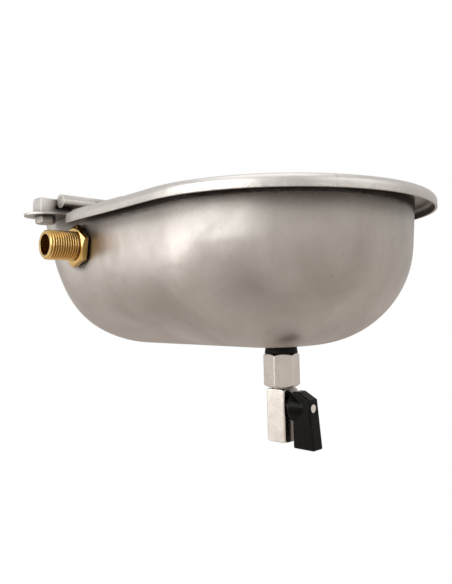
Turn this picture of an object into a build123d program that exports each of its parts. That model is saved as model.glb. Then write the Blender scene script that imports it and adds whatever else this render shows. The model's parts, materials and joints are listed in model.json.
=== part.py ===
from build123d import *
from math import atan, cos, degrees, radians, sin, tan
import os

os.makedirs("parts", exist_ok=True)

# A livestock drinking bowl that hangs on a wall, in millimetres. The origin is midway between its
# two mounting holes, on the wall's face. +X points away from the wall, +Z is up and the water
# comes in on the -Y side.

# Bowl, pressed from one sheet
sheet = 1.5
brim_height = 22  # brim's top face above the mounting holes
brim_centre_x = 179  # where the round front begins
brim_reach = 102  # from there to the front tip
brim_half_width = 113
brim_taper = 5.0  # degrees, each side of the brim closing in towards the wall
wall_taper = 3.5  # the same for the bowl below it
brim_width = 14  # from the skirt's outer face to the bowl's wall, at the front
brim_corner = 12
brim_edge_radius = 4.5
skirt_depth = 8.2
skirt_end_x = 66
bowl_depth = 98.5
band_depth = 32.7  # the upper part of the wall, which is straight
back_band_depth = 67  # the flat part of the back
front_lean = 0.08  # how far the front closes in for each millimetre down
front_sweep = 63.2  # how far the floor's curve reaches in from each wall
side_sweep = 75
back_sweep = 45.7
corner_share_top = 0.18  # of the back's half width, taken by each round corner
corner_share_floor = 0.94
sweep_angles = [0, 16, 32, 47, 61, 75, 90]

# Ears on the rear of the brim
ear_reach = 9  # past the widest part of the brim
ear_rear_x = 29
ear_front_x = 59

# Wall holes
wall_hole_radius = 4.5
wall_hole_spacing = 70

# Hexagonal parts
bevel_share = 0.94  # turned-off corner's inner radius as a share of half the flats

# Hinge of the cover
hinge_x = 56
hinge_rise = 9.0  # pin's axis above the brim
knuckle_radius = 5.0
knuckle_inset = 11.6  # from the widest part of the brim to the hinge's ends
knuckle_length = 27
knuckle_gap = 0.4
pin_radius = 2.5
pin_clearance = 0.06
pin_end_chamfer = 0.2
bar_gap = 1.0  # from the bar's front face to the knuckles
bar_depth = 12
bar_height = 11.5
bar_overhang = 0.5  # past the widest part of the brim
bar_edge_radius = 4.4
bar_front_radius = 0.8
weld_height = 4.5

# Cover over the float
cover_sheet = 1.5
cover_clearance = 0.3
cover_front_x = 140
cover_overlap = 6.5  # how far each side lies on the brim
cover_corner = 12
cover_rear_corner = 4
cover_lip_depth = 14
cover_bend_radius = 1.4
cover_rear_clearance = 2.0
tongue_flat = 1.0
tongue_slope_length = 7.0

# Ear bolts, M8, screwed up into the hinge bar
ear_bolt_x = 44
ear_bolt_inset = 15  # from the ear's side
bolt_radius = 4.0
bolt_thread_clearance = 0.05
bolt_hole_clearance = 0.3
bolt_head_flats = 13
bolt_head_height = 5.3
bolt_head_turn = 15
bolt_engagement = 8.5
bolt_hole_spare = 1.0

# Water inlet, a G 1/2 tail through the side wall
inlet_x = 66.6
inlet_drop = 24.4  # axis below the brim's top
thread_radius = 10.4775
tail_relief_radius = 10.2
inlet_bore_radius = 7.5
inlet_reach = 27.2  # tail's end from the wall's outer face
inlet_hole_clearance = 0.6
inlet_pad_radius = 15.6  # the wall is pressed flat this far round the hole
inlet_chamfer = 1.2
inlet_gasket_thickness = 1.3
inlet_gasket_radius = 12.9
gasket_bore_clearance = 0.2
lock_nut_flats = 27
lock_nut_thickness = 4.7
lock_nut_turn = 17
lock_nut_clearance = 0.05
inner_gasket_thickness = 1.5
flange_radius = 14.5
flange_thickness = 3.0

# Float valve, its places measured along the inlet's axis inwards from the wall's outer face
barrel_radius = 9.5
seat_wall_start = 10.0
seat_wall_end = 14.0
barrel_end = 38.0
plunger_radius = 5.9
plunger_clearance = 0.08
plunger_washer_radius = 5.4
plunger_washer_thickness = 3.0
nozzle_radius = 4.5
nozzle_fit = 0.03
nozzle_bore_radius = 2.2
nozzle_stand = 1.2
valve_slack = 0.06  # between the washer and the nozzle when the valve is shut
outlet_width = 7.0
outlet_length = 5.0
pivot_depth = 45.0
pivot_drop = 9.0  # pivot's axis below the plunger's axis
arm_pin_radius = 1.5
arm_pin_clearance = 0.06
arm_pin_stickout = 0.8
lug_start = 26.0
lug_top_drop = 6.4  # below the plunger's axis
lug_inner = 4.0
lug_thickness = 3.0
lug_radius = 4.5
finger_radius = 2.5
finger_gap = 0.3
arm_hang = 22.0  # degrees below level, with the bowl empty
arm_hub_radius = 4.2
arm_hub_gap = 0.3
arm_rod_radius = 2.5
arm_collar_radius = 4.5
arm_collar_length = 2.0
float_start = 42.0  # from the pivot to the float's near end
float_length = 46.0
float_width = 60.0
float_height = 27.0
float_edge_radius = 8.0
float_bore_clearance = 0.1
float_washer_radius = 6.0
float_washer_thickness = 1.2
float_nut_flats = 8
float_nut_thickness = 5.0
arm_rod_stickout = 2.0

# Drain fitting in the floor
drain_x = 176
drain_stud_radius = 8.3
drain_bore_radius = 5.0
drain_hole_clearance = 0.3
drain_flange_radius = 15.0
drain_flange_thickness = 2.5
drain_flange_chamfer = 0.8
drain_slot_width = 2.4
drain_slot_depth = 1.2
drain_inner_gasket_thickness = 1.5
drain_inner_gasket_radius = 14.0
drain_gasket_height = 5.4
drain_gasket_top_radius = 10.8
drain_gasket_bottom_radius = 11.7
stud_clearance = 0.1
stud_engagement = 8.5

# Hexagonal coupling between the drain fitting and the ball valve
coupling_flats = 22
coupling_height = 23.4
coupling_turn = 46
coupling_socket_depth = 9.5

# Ball valve under the coupling
valve_side = 16.0
valve_length = 36.2
valve_neck_radius = 7.4
valve_neck_height = 1.4
valve_spigot_radius = 6.4
valve_spigot_length = 8.0
valve_edge_radius = 1.0
valve_end_bevel = 1.6
ball_drop = 11.9  # ball's centre below the body's top face
port_radius = 3.2
ball_radius = 5.6
ball_clearance = 0.06
seat_radius = 6.6
seat_fit = 0.03
seat_far = 6.8  # a seat ring's outer face from the ball's centre
seat_near = 3.9
retainer_thread_radius = 5.7
retainer_thread_depth = 11.0
stem_radius = 2.5
stem_clearance = 0.05
stem_shoulder_gap = 0.3
tang_width = 2.0
tang_length = 5.0
tang_depth = 1.6
tang_gap = 0.1
gland_boss_radius = 5.2
gland_boss_height = 1.6
o_ring_radius = 0.55
gland_flats = 9.5
gland_thickness = 1.9

# Lever of the ball valve, its places measured from the valve's axis and the ball's centre
hub_gap = 0.4
hub_radius = 10.0
hub_rim = 1.5
hub_end_radius = 5.1
hub_end_x = 22.0
blade_inner_x = 12.6
blade_crown_x = 17.0  # where the blade's top begins to slope
blade_outer_x = 26.5
blade_flare = 3.4
blade_half_width = 5.1
blade_top = 11.0
blade_shoulder = 6.0
blade_bottom = 27.4
blade_edge_radius = 1.0
stem_end_x = 21.5
screw_floor_x = 25.2
screw_head_radius = 2.9
screw_head_height = 1.5
screw_recess_clearance = 0.3
screw_radius = 1.5
screw_length = 8.0
screw_clearance = 0.05
screw_hole_spare = 0.6

# Worked out from the sizes above
brim_z = brim_height
wall_reach = brim_reach - brim_width
wall_half_width = brim_half_width - brim_width
floor_z = brim_z - bowl_depth
floor_inner_z = floor_z + sheet
ear_half_width = brim_half_width + ear_reach
ear_bolt_y = ear_half_width - ear_bolt_inset
knuckle_end_y = brim_half_width - knuckle_inset
bar_half_length = brim_half_width + bar_overhang
ear_bolt_spots = [(ear_bolt_x, -ear_bolt_y), (ear_bolt_x, ear_bolt_y)]
hinge_z = brim_z + hinge_rise
inlet_hole_radius = tail_relief_radius + inlet_hole_clearance
drain_hole_radius = drain_stud_radius + drain_hole_clearance


def hex_radius(flats):
    return flats / 2 / cos(radians(30))


def side_tangent(reach, half_width, taper):
    # Where the tapered side leaves the round front, as the ellipse's angle and as a point
    angle = 90 + degrees(atan(reach * tan(radians(taper)) / half_width))
    x = brim_centre_x + reach * cos(radians(angle))
    y = half_width * sin(radians(angle))
    return angle, x, y


def side_y(x, reach, half_width, taper):
    tangent_x, tangent_y = side_tangent(reach, half_width, taper)[1:]
    return tangent_y - (tangent_x - x) * tan(radians(taper))


def plan_face(reach, half_width, rear_x, corner, taper):
    # A round front, two sides that close in towards the wall and a straight back
    angle, tangent_x, tangent_y = side_tangent(reach, half_width, taper)
    centre_x = rear_x + corner
    rise = (centre_x - tangent_x) * sin(radians(taper)) - corner
    centre_y = tangent_y + rise / cos(radians(taper))
    turn = 90 - taper
    with BuildSketch() as plan:
        with BuildLine():
            front = EllipticalCenterArc(
                (brim_centre_x, 0), reach, half_width, -angle, arc_size=2 * angle
            )
            left = CenterArc((centre_x, centre_y), corner, 90 + taper, turn)
            right = CenterArc((centre_x, -centre_y), corner, 180, turn)
            Line(front @ 1, left @ 0)
            Line(left @ 1, right @ 0)
            Line(right @ 1, front @ 0)
        make_face()
    return plan.sketch


def wall_face(depth, front_inset, side_inset, back_inset, skin):
    # One level of the bowl's wall. skin is 0 for the outer face and the sheet for the inner one.
    reach = wall_reach - front_inset
    half_width = wall_half_width - side_inset
    rear_half = side_y(back_inset, reach, half_width, wall_taper)
    share = corner_share_top + (corner_share_floor - corner_share_top) * depth / bowl_depth
    corner = rear_half * share - skin
    return plan_face(reach, half_width, back_inset, corner, wall_taper)


def bowl_form(skin):
    # The upright band first, and then the sweep of the floor below it
    height = bowl_depth - skin
    with BuildPart() as form:
        for depth in (0, band_depth):
            with BuildSketch(Plane.XY.offset(brim_z - depth)):
                add(wall_face(depth, skin + front_lean * depth, skin, skin, skin))
        loft(ruled=True)
        for angle in sweep_angles:
            depth = band_depth + (height - band_depth) * sin(radians(angle))
            fall = 1 - cos(radians(angle))
            below_flat = max(depth - back_band_depth, 0) / (height - back_band_depth)
            back_fall = 1 - (1 - min(below_flat, 1) ** 2) ** 0.5
            with BuildSketch(Plane.XY.offset(brim_z - depth)):
                add(
                    wall_face(
                        depth,
                        skin + front_lean * depth + (front_sweep - skin) * fall,
                        skin + (side_sweep - skin) * fall,
                        skin + (back_sweep - skin) * back_fall,
                        skin,
                    )
                )
        loft()
    return form.part


# The inlet's plane lies on the tapered side wall, its z axis pointing out of the bowl
inlet_wall_y = side_y(inlet_x, wall_reach, wall_half_width, wall_taper)
inlet_out = (-sin(radians(wall_taper)), -cos(radians(wall_taper)), 0)
inlet_along = (cos(radians(wall_taper)), -sin(radians(wall_taper)), 0)
inlet_plane = Plane((inlet_x, -inlet_wall_y, brim_z - inlet_drop), inlet_along, inlet_out)

bowl_outside = bowl_form(0)
bowl_inside = bowl_form(sheet)

with BuildPart() as brim_hollow:
    with BuildSketch(Plane.XY.offset(brim_z - skirt_depth)):
        add(
            plan_face(
                brim_reach - sheet,
                brim_half_width - sheet,
                ear_rear_x + sheet,
                brim_corner - sheet,
                brim_taper,
            )
        )
    extrude(amount=skirt_depth - sheet)
    fillet(brim_hollow.edges().group_by(Axis.Z)[-1], radius=brim_edge_radius - sheet)

with BuildPart() as bowl_shell:
    # Brim with its edge turned down
    with BuildSketch(Plane.XY.offset(brim_z - skirt_depth)):
        add(plan_face(brim_reach, brim_half_width, ear_rear_x, brim_corner, brim_taper))
    extrude(amount=skirt_depth)
    fillet(bowl_shell.edges().group_by(Axis.Z)[-1], radius=brim_edge_radius)
    add(brim_hollow.part, mode=Mode.SUBTRACT)
    # The skirt stops where the ears begin
    with BuildSketch(Plane.XY.offset(brim_z - sheet)):
        with Locations((skirt_end_x / 2, 0)):
            Rectangle(skirt_end_x, 2 * brim_half_width + 2 * brim_width)
    extrude(amount=-skirt_depth, mode=Mode.SUBTRACT)
    # Ears
    with BuildSketch(Plane.XY.offset(brim_z - sheet)):
        with Locations(((ear_rear_x + ear_front_x) / 2, 0)):
            SlotOverall(2 * ear_half_width, ear_front_x - ear_rear_x, rotation=90)
    extrude(amount=sheet)
    add(bowl_outside)
    add(bowl_inside, mode=Mode.SUBTRACT)
    # Flat back
    with BuildSketch(Plane.YZ):
        with Locations((0, floor_z)):
            Rectangle(2 * wall_half_width, 2 * bowl_depth)
    extrude(amount=-sheet, mode=Mode.SUBTRACT)
    # Flat seat for the inlet's gaskets
    with BuildSketch(inlet_plane):
        Circle(inlet_pad_radius)
    extrude(amount=-sheet)
    with BuildSketch(inlet_plane.offset(-sheet)):
        Circle(inlet_pad_radius)
    extrude(amount=-sheet, mode=Mode.SUBTRACT)
    # Holes for the wall screws, the inlet, the drain and the ear bolts
    with BuildSketch(Plane.YZ):
        with GridLocations(wall_hole_spacing, 1, 2, 1):
            Circle(wall_hole_radius)
    extrude(amount=2 * sheet, mode=Mode.SUBTRACT)
    with BuildSketch(inlet_plane):
        Circle(inlet_hole_radius)
    extrude(amount=-4 * sheet, mode=Mode.SUBTRACT)
    with BuildSketch(Plane.XY.offset(floor_z)):
        with Locations((drain_x, 0)):
            Circle(drain_hole_radius)
    extrude(amount=2 * sheet, mode=Mode.SUBTRACT)
    with BuildSketch(Plane.XY.offset(brim_z)):
        with Locations(*ear_bolt_spots):
            Circle(bolt_radius + bolt_hole_clearance)
    extrude(amount=-2 * sheet, mode=Mode.SUBTRACT)
bowl_shell.part.label = "bowl_shell"
export_step(bowl_shell.part, "parts/bowl_shell.step")


def hex_block(flats, height, turn, bevel_low=True, bevel_high=True):
    # A hexagonal bar standing on z = 0, with its corners turned off at the ends that ask for it
    radius = hex_radius(flats)
    inner = flats / 2 * bevel_share
    rise = (radius - inner) * tan(radians(30))
    low_end = [(inner, 0), (radius, rise)] if bevel_low else [(radius, 0)]
    high_end = [(radius, height - rise), (inner, height)] if bevel_high else [(radius, height)]
    with BuildPart() as block:
        with BuildSketch():
            RegularPolygon(radius, 6, rotation=turn)
        extrude(amount=height)
        with BuildSketch(Plane.XZ):
            with BuildLine():
                Polyline((0, 0), *low_end, *high_end, (0, height), close=True)
            make_face()
        revolve(axis=Axis.Z, mode=Mode.INTERSECT)
    return block.part


# Hinge of the cover

bar_front_x = hinge_x - knuckle_radius - bar_gap
with BuildPart() as hinge_bar:
    with BuildSketch(Plane.XY.offset(brim_z)):
        with Locations((bar_front_x - bar_depth / 2, 0)):
            Rectangle(bar_depth, 2 * bar_half_length)
    extrude(amount=bar_height)
    upper_edges = hinge_bar.edges().filter_by(Axis.Y).group_by(Axis.Z)[-1].sort_by(Axis.X)
    fillet(upper_edges[-1], radius=bar_front_radius)
    fillet(upper_edges[0], radius=bar_edge_radius)
    with BuildSketch(Plane.XY.offset(brim_z)):
        with Locations(*ear_bolt_spots):
            Circle(bolt_radius + bolt_thread_clearance)
    extrude(amount=bolt_engagement + bolt_hole_spare, mode=Mode.SUBTRACT)
hinge_bar.part.label = "hinge_bar"
export_step(hinge_bar.part, "parts/hinge_bar.step")

with BuildPart() as hinge_bolts:
    with BuildSketch(Plane.XY.offset(brim_z - sheet)):
        with Locations(*ear_bolt_spots):
            Circle(bolt_radius)
    extrude(amount=sheet + bolt_engagement)
    head_z = brim_z - sheet - bolt_head_height
    with Locations(*[(x, y, head_z) for x, y in ear_bolt_spots]):
        add(hex_block(bolt_head_flats, bolt_head_height, bolt_head_turn, bevel_high=False))
hinge_bolts.part.label = "hinge_bolts"
export_step(hinge_bolts.part, "parts/hinge_bolts.step")

for side, name in ((-1, "left_knuckle"), (1, "right_knuckle")):
    middle_y = side * (knuckle_end_y - knuckle_length / 2)
    with BuildPart() as knuckle:
        with BuildSketch(Plane.XZ.offset(-middle_y)) as knuckle_profile:
            with Locations((hinge_x, hinge_z)):
                Circle(knuckle_radius)
            with Locations(((bar_front_x + hinge_x) / 2, hinge_z)):
                Rectangle(hinge_x - bar_front_x, weld_height)
            with Locations((hinge_x, hinge_z)):
                Circle(pin_radius + pin_clearance, mode=Mode.SUBTRACT)
        extrude(amount=knuckle_length / 2, both=True)
    knuckle.part.label = name
    export_step(knuckle.part, f"parts/{name}.step")

with BuildPart() as hinge_pin:
    with BuildSketch(Plane.XZ):
        with Locations((hinge_x, hinge_z)):
            Circle(pin_radius)
    extrude(amount=knuckle_end_y, both=True)
    chamfer(hinge_pin.edges().filter_by(GeomType.CIRCLE), length=pin_end_chamfer)
hinge_pin.part.label = "hinge_pin"
export_step(hinge_pin.part, "parts/hinge_pin.step")

# Cover: a plate that lies on the brim, a lip turned down into the bowl and an eye rolled round the pin

cover_bottom = brim_z + cover_clearance
cover_top = cover_bottom + cover_sheet
cover_rear_x = hinge_x + knuckle_radius + cover_rear_clearance
cover_rear_half = side_y(cover_rear_x, wall_reach, wall_half_width, wall_taper) + cover_overlap
cover_front_half = side_y(cover_front_x, wall_reach, wall_half_width, wall_taper) + cover_overlap
eye_half_length = knuckle_end_y - knuckle_length - knuckle_gap
eye_bottom = hinge_z - knuckle_radius
slope_start_x = hinge_x + tongue_flat
slope_end_x = slope_start_x + tongue_slope_length
with BuildPart() as float_cover:
    with BuildSketch(Plane.XY.offset(cover_bottom)) as plate:
        with BuildLine():
            Polyline(
                (cover_rear_x, -cover_rear_half),
                (cover_front_x, -cover_front_half),
                (cover_front_x, cover_front_half),
                (cover_rear_x, cover_rear_half),
                close=True,
            )
        make_face()
        fillet(plate.vertices().group_by(Axis.X)[-1], radius=cover_corner)
        fillet(plate.vertices().group_by(Axis.X)[0], radius=cover_rear_corner)
    extrude(amount=cover_sheet)
    with BuildSketch(Plane.XY.offset(cover_bottom)):
        with Locations((cover_front_x - cover_sheet / 2, 0)):
            Rectangle(cover_sheet, 2 * (cover_front_half - cover_corner))
    extrude(amount=-cover_lip_depth)
    front_edge = float_cover.edges().filter_by(Axis.Y).group_by(Axis.Z)[-1].sort_by(Axis.X)[-1]
    fillet(front_edge, radius=cover_bend_radius)
    with BuildSketch(Plane.XZ):
        with Locations((hinge_x, hinge_z)):
            Circle(knuckle_radius)
        with BuildLine():
            Polyline(
                (hinge_x, eye_bottom),
                (slope_start_x, eye_bottom),
                (slope_end_x, cover_bottom),
                (slope_end_x + cover_sheet, cover_bottom),
                (slope_end_x + cover_sheet, cover_top),
                (slope_end_x, cover_top),
                (slope_start_x, eye_bottom + cover_sheet),
                (hinge_x, eye_bottom + cover_sheet),
                close=True,
            )
        make_face()
    extrude(amount=eye_half_length, both=True)
    with BuildSketch(Plane.XZ):
        with Locations((hinge_x, hinge_z)):
            Circle(pin_radius + pin_clearance)
    extrude(amount=eye_half_length, both=True, mode=Mode.SUBTRACT)
float_cover.part.label = "float_cover"
export_step(float_cover.part, "parts/float_cover.step")

# Water inlet. The tail of the float valve passes through the wall between two gaskets.

nut_outer = inlet_gasket_thickness + lock_nut_thickness
body_inner = -sheet - inner_gasket_thickness
gasket_bore_radius = tail_relief_radius + gasket_bore_clearance

with BuildPart() as inlet_gasket:
    with BuildSketch(inlet_plane):
        Circle(inlet_gasket_radius)
        Circle(gasket_bore_radius, mode=Mode.SUBTRACT)
    extrude(amount=inlet_gasket_thickness)
inlet_gasket.part.label = "inlet_gasket"
export_step(inlet_gasket.part, "parts/inlet_gasket.step")

with BuildPart() as inlet_lock_nut:
    with Locations(inlet_plane.offset(inlet_gasket_thickness)):
        add(hex_block(lock_nut_flats, lock_nut_thickness, lock_nut_turn, bevel_low=False))
    with BuildSketch(inlet_plane):
        Circle(tail_relief_radius + lock_nut_clearance)
    extrude(amount=nut_outer, mode=Mode.SUBTRACT)
inlet_lock_nut.part.label = "inlet_lock_nut"
export_step(inlet_lock_nut.part, "parts/inlet_lock_nut.step")

with BuildPart() as inner_gasket:
    with BuildSketch(inlet_plane.offset(-sheet)):
        Circle(flange_radius)
        Circle(gasket_bore_radius, mode=Mode.SUBTRACT)
    extrude(amount=-inner_gasket_thickness)
inner_gasket.part.label = "inner_gasket"
export_step(inner_gasket.part, "parts/inner_gasket.step")

# Float valve. On this plane x runs inwards along the plunger, y is up and z points along the wall.
valve_side_plane = Plane(inlet_plane.origin, -inlet_plane.z_dir, inlet_plane.x_dir)
plunger_travel = pivot_drop * radians(arm_hang)
nozzle_end = seat_wall_end + nozzle_stand
washer_start = nozzle_end + valve_slack + plunger_travel
plunger_start = washer_start + plunger_washer_thickness
plunger_end = pivot_depth - finger_radius - finger_gap

with BuildPart() as float_valve_body:
    with BuildSketch(inlet_plane.offset(nut_outer)):
        Circle(thread_radius)
    extrude(amount=inlet_reach - nut_outer)
    tail_circles = float_valve_body.edges().filter_by(GeomType.CIRCLE)
    tip_edge = tail_circles.sort_by(Axis(inlet_plane.origin, inlet_plane.z_dir))[-1]
    chamfer(tip_edge, length=inlet_chamfer)
    with BuildSketch(inlet_plane.offset(nut_outer)):
        Circle(tail_relief_radius)
    extrude(amount=body_inner - nut_outer)
    with BuildSketch(inlet_plane.offset(body_inner)):
        Circle(flange_radius)
    extrude(amount=-flange_thickness)
    with BuildSketch(inlet_plane.offset(body_inner)):
        Circle(barrel_radius)
    extrude(amount=-barrel_end - body_inner)
    for start in (lug_inner, -lug_inner - lug_thickness):
        with BuildSketch(valve_side_plane.offset(start)):
            with BuildLine():
                Polyline(
                    (lug_start, -barrel_radius),
                    (lug_start, -lug_top_drop),
                    (pivot_depth - lug_radius / 2, -lug_top_drop),
                    (pivot_depth, -pivot_drop),
                    (pivot_depth, -pivot_drop - lug_radius),
                    close=True,
                )
            make_face()
            with Locations((pivot_depth, -pivot_drop)):
                Circle(lug_radius)
        extrude(amount=lug_thickness)
    with BuildSketch(valve_side_plane):
        with Locations((pivot_depth, -pivot_drop)):
            Circle(arm_pin_radius + arm_pin_clearance)
    extrude(amount=lug_inner + lug_thickness, both=True, mode=Mode.SUBTRACT)
    with BuildSketch(inlet_plane.offset(inlet_reach)):
        Circle(inlet_bore_radius)
    extrude(amount=-inlet_reach - seat_wall_start, mode=Mode.SUBTRACT)
    with BuildSketch(inlet_plane.offset(-seat_wall_start)):
        Circle(nozzle_radius + nozzle_fit)
    extrude(amount=seat_wall_start - seat_wall_end, mode=Mode.SUBTRACT)
    with BuildSketch(inlet_plane.offset(-seat_wall_end)):
        Circle(plunger_radius + plunger_clearance)
    extrude(amount=seat_wall_end - barrel_end, mode=Mode.SUBTRACT)
    with BuildSketch(valve_side_plane):
        with Locations((nozzle_end + outlet_length / 2, -barrel_radius)):
            Rectangle(outlet_length, 2 * barrel_radius)
    extrude(amount=outlet_width / 2, both=True, mode=Mode.SUBTRACT)
float_valve_body.part.label = "float_valve_body"
export_step(float_valve_body.part, "parts/float_valve_body.step")

with BuildPart() as valve_nozzle:
    with BuildSketch(inlet_plane.offset(-seat_wall_start)):
        Circle(nozzle_radius)
        Circle(nozzle_bore_radius, mode=Mode.SUBTRACT)
    extrude(amount=seat_wall_start - nozzle_end)
valve_nozzle.part.label = "valve_nozzle"
export_step(valve_nozzle.part, "parts/valve_nozzle.step")

with BuildPart() as plunger_washer:
    with BuildSketch(inlet_plane.offset(-washer_start)):
        Circle(plunger_washer_radius)
    extrude(amount=-plunger_washer_thickness)
plunger_washer.part.label = "plunger_washer"
export_step(plunger_washer.part, "parts/plunger_washer.step")

with BuildPart() as plunger:
    with BuildSketch(inlet_plane.offset(-plunger_start)):
        Circle(plunger_radius)
    extrude(amount=plunger_start - plunger_end)
plunger.part.label = "plunger"
export_step(plunger.part, "parts/plunger.step")

with BuildPart() as arm_pin:
    with BuildSketch(valve_side_plane):
        with Locations((pivot_depth, -pivot_drop)):
            Circle(arm_pin_radius)
    extrude(amount=lug_inner + lug_thickness + arm_pin_stickout, both=True)
arm_pin.part.label = "arm_pin"
export_step(arm_pin.part, "parts/arm_pin.step")

# Arm and float, hanging at rest. The arm's plane has its z axis along the rod.
pivot_point = valve_side_plane.from_local_coords((pivot_depth, -pivot_drop, 0))
hang = radians(arm_hang)
rod_direction = valve_side_plane.x_dir * cos(hang) - valve_side_plane.y_dir * sin(hang)
arm_plane = Plane(pivot_point, inlet_plane.x_dir, rod_direction)
float_end = float_start + float_length
nut_start = float_end + float_washer_thickness
rod_length = nut_start + float_nut_thickness + arm_rod_stickout
rod_bore_radius = arm_rod_radius + float_bore_clearance

with BuildPart() as float_arm:
    with BuildSketch(valve_side_plane):
        with Locations((pivot_depth, -pivot_drop)):
            Circle(arm_hub_radius)
    extrude(amount=lug_inner - arm_hub_gap, both=True)
    with BuildSketch(Plane(pivot_point, inlet_plane.x_dir, valve_side_plane.y_dir)):
        Circle(finger_radius)
    extrude(amount=pivot_drop)
    with Locations(valve_side_plane.from_local_coords((pivot_depth, 0, 0))):
        Sphere(finger_radius)
    with BuildSketch(arm_plane):
        Circle(arm_rod_radius)
    extrude(amount=rod_length)
    with BuildSketch(arm_plane.offset(float_start - arm_collar_length)):
        Circle(arm_collar_radius)
    extrude(amount=arm_collar_length)
    with BuildSketch(valve_side_plane):
        with Locations((pivot_depth, -pivot_drop)):
            Circle(arm_pin_radius + arm_pin_clearance)
    extrude(amount=lug_inner, both=True, mode=Mode.SUBTRACT)
float_arm.part.label = "float_arm"
export_step(float_arm.part, "parts/float_arm.step")

with BuildPart() as float_block:
    with BuildSketch(arm_plane.offset(float_start)):
        Rectangle(float_width, float_height)
    extrude(amount=float_length)
    fillet(float_block.edges(), radius=float_edge_radius)
    with BuildSketch(arm_plane.offset(float_start)):
        Circle(rod_bore_radius)
    extrude(amount=float_length, mode=Mode.SUBTRACT)
float_block.part.label = "float"
export_step(float_block.part, "parts/float.step")

with BuildPart() as float_washer:
    with BuildSketch(arm_plane.offset(float_end)):
        Circle(float_washer_radius)
        Circle(rod_bore_radius, mode=Mode.SUBTRACT)
    extrude(amount=float_washer_thickness)
float_washer.part.label = "float_washer"
export_step(float_washer.part, "parts/float_washer.step")

with BuildPart() as float_nut:
    with Locations(arm_plane.offset(nut_start)):
        add(hex_block(float_nut_flats, float_nut_thickness, 0))
    with BuildSketch(arm_plane.offset(nut_start)):
        Circle(rod_bore_radius)
    extrude(amount=float_nut_thickness, mode=Mode.SUBTRACT)
float_nut.part.label = "float_nut"
export_step(float_nut.part, "parts/float_nut.step")

# Drain fitting

drain_axis = Axis((drain_x, 0, 0), (0, 0, 1))
stud_top_z = floor_inner_z + drain_inner_gasket_thickness + drain_flange_thickness
coupling_top_z = floor_z - drain_gasket_height
coupling_bottom_z = coupling_top_z - coupling_height
stud_end_z = coupling_top_z - stud_engagement

with BuildPart() as drain_stud:
    with BuildSketch(Plane.XY.offset(stud_end_z)):
        with Locations((drain_x, 0)):
            Circle(drain_stud_radius)
    extrude(amount=stud_top_z - stud_end_z)
    with BuildSketch(Plane.XY.offset(stud_top_z)):
        with Locations((drain_x, 0)):
            Circle(drain_flange_radius)
    extrude(amount=-drain_flange_thickness)
    chamfer(drain_stud.edges().group_by(Axis.Z)[-1], length=drain_flange_chamfer)
    with BuildSketch(Plane.XY.offset(stud_top_z)):
        with Locations((drain_x, 0)):
            Rectangle(drain_slot_width, 2 * drain_flange_radius)
    extrude(amount=-drain_slot_depth, mode=Mode.SUBTRACT)
    with BuildSketch(Plane.XY.offset(stud_top_z)):
        with Locations((drain_x, 0)):
            Circle(drain_bore_radius)
    extrude(amount=stud_end_z - stud_top_z, mode=Mode.SUBTRACT)
drain_stud.part.label = "drain_stud"
export_step(drain_stud.part, "parts/drain_stud.step")

with BuildPart() as drain_inner_gasket:
    with BuildSketch(Plane.XY.offset(floor_inner_z)):
        with Locations((drain_x, 0)):
            Circle(drain_inner_gasket_radius)
            Circle(drain_stud_radius + stud_clearance, mode=Mode.SUBTRACT)
    extrude(amount=drain_inner_gasket_thickness)
drain_inner_gasket.part.label = "drain_inner_gasket"
export_step(drain_inner_gasket.part, "parts/drain_inner_gasket.step")

with BuildPart() as drain_gasket:
    with BuildSketch(Plane.XZ):
        with BuildLine():
            Polyline(
                (drain_x + drain_stud_radius + stud_clearance, floor_z),
                (drain_x + drain_gasket_top_radius, floor_z),
                (drain_x + drain_gasket_bottom_radius, coupling_top_z),
                (drain_x + drain_stud_radius + stud_clearance, coupling_top_z),
                close=True,
            )
        make_face()
    revolve(axis=drain_axis)
drain_gasket.part.label = "drain_gasket"
export_step(drain_gasket.part, "parts/drain_gasket.step")

with BuildPart() as drain_coupling:
    with Locations((drain_x, 0, coupling_bottom_z)):
        add(hex_block(coupling_flats, coupling_height, coupling_turn))
    with BuildSketch(Plane.XY.offset(coupling_top_z)):
        with Locations((drain_x, 0)):
            Circle(drain_stud_radius + stud_clearance)
    extrude(amount=-coupling_socket_depth, mode=Mode.SUBTRACT)
    with BuildSketch(Plane.XY.offset(coupling_bottom_z)):
        with Locations((drain_x, 0)):
            Circle(valve_spigot_radius + stud_clearance)
    extrude(amount=coupling_height, mode=Mode.SUBTRACT)
drain_coupling.part.label = "drain_coupling"
export_step(drain_coupling.part, "parts/drain_coupling.step")

# Ball valve

valve_top_z = coupling_bottom_z - valve_neck_height
valve_bottom_z = valve_top_z - valve_length
ball_z = valve_top_z - ball_drop
chamber_radius = seat_radius + seat_fit
ball_point = (drain_x, 0, ball_z)
stem_plane = Plane(ball_point, (0, 1, 0), (1, 0, 0))
lever_plane = Plane(ball_point, (1, 0, 0), (0, -1, 0))
face_x = valve_side / 2
gland_start_x = face_x + gland_boss_height
gland_end_x = gland_start_x + gland_thickness
o_ring_seat_radius = stem_radius + stem_clearance + 2 * o_ring_radius

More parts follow.
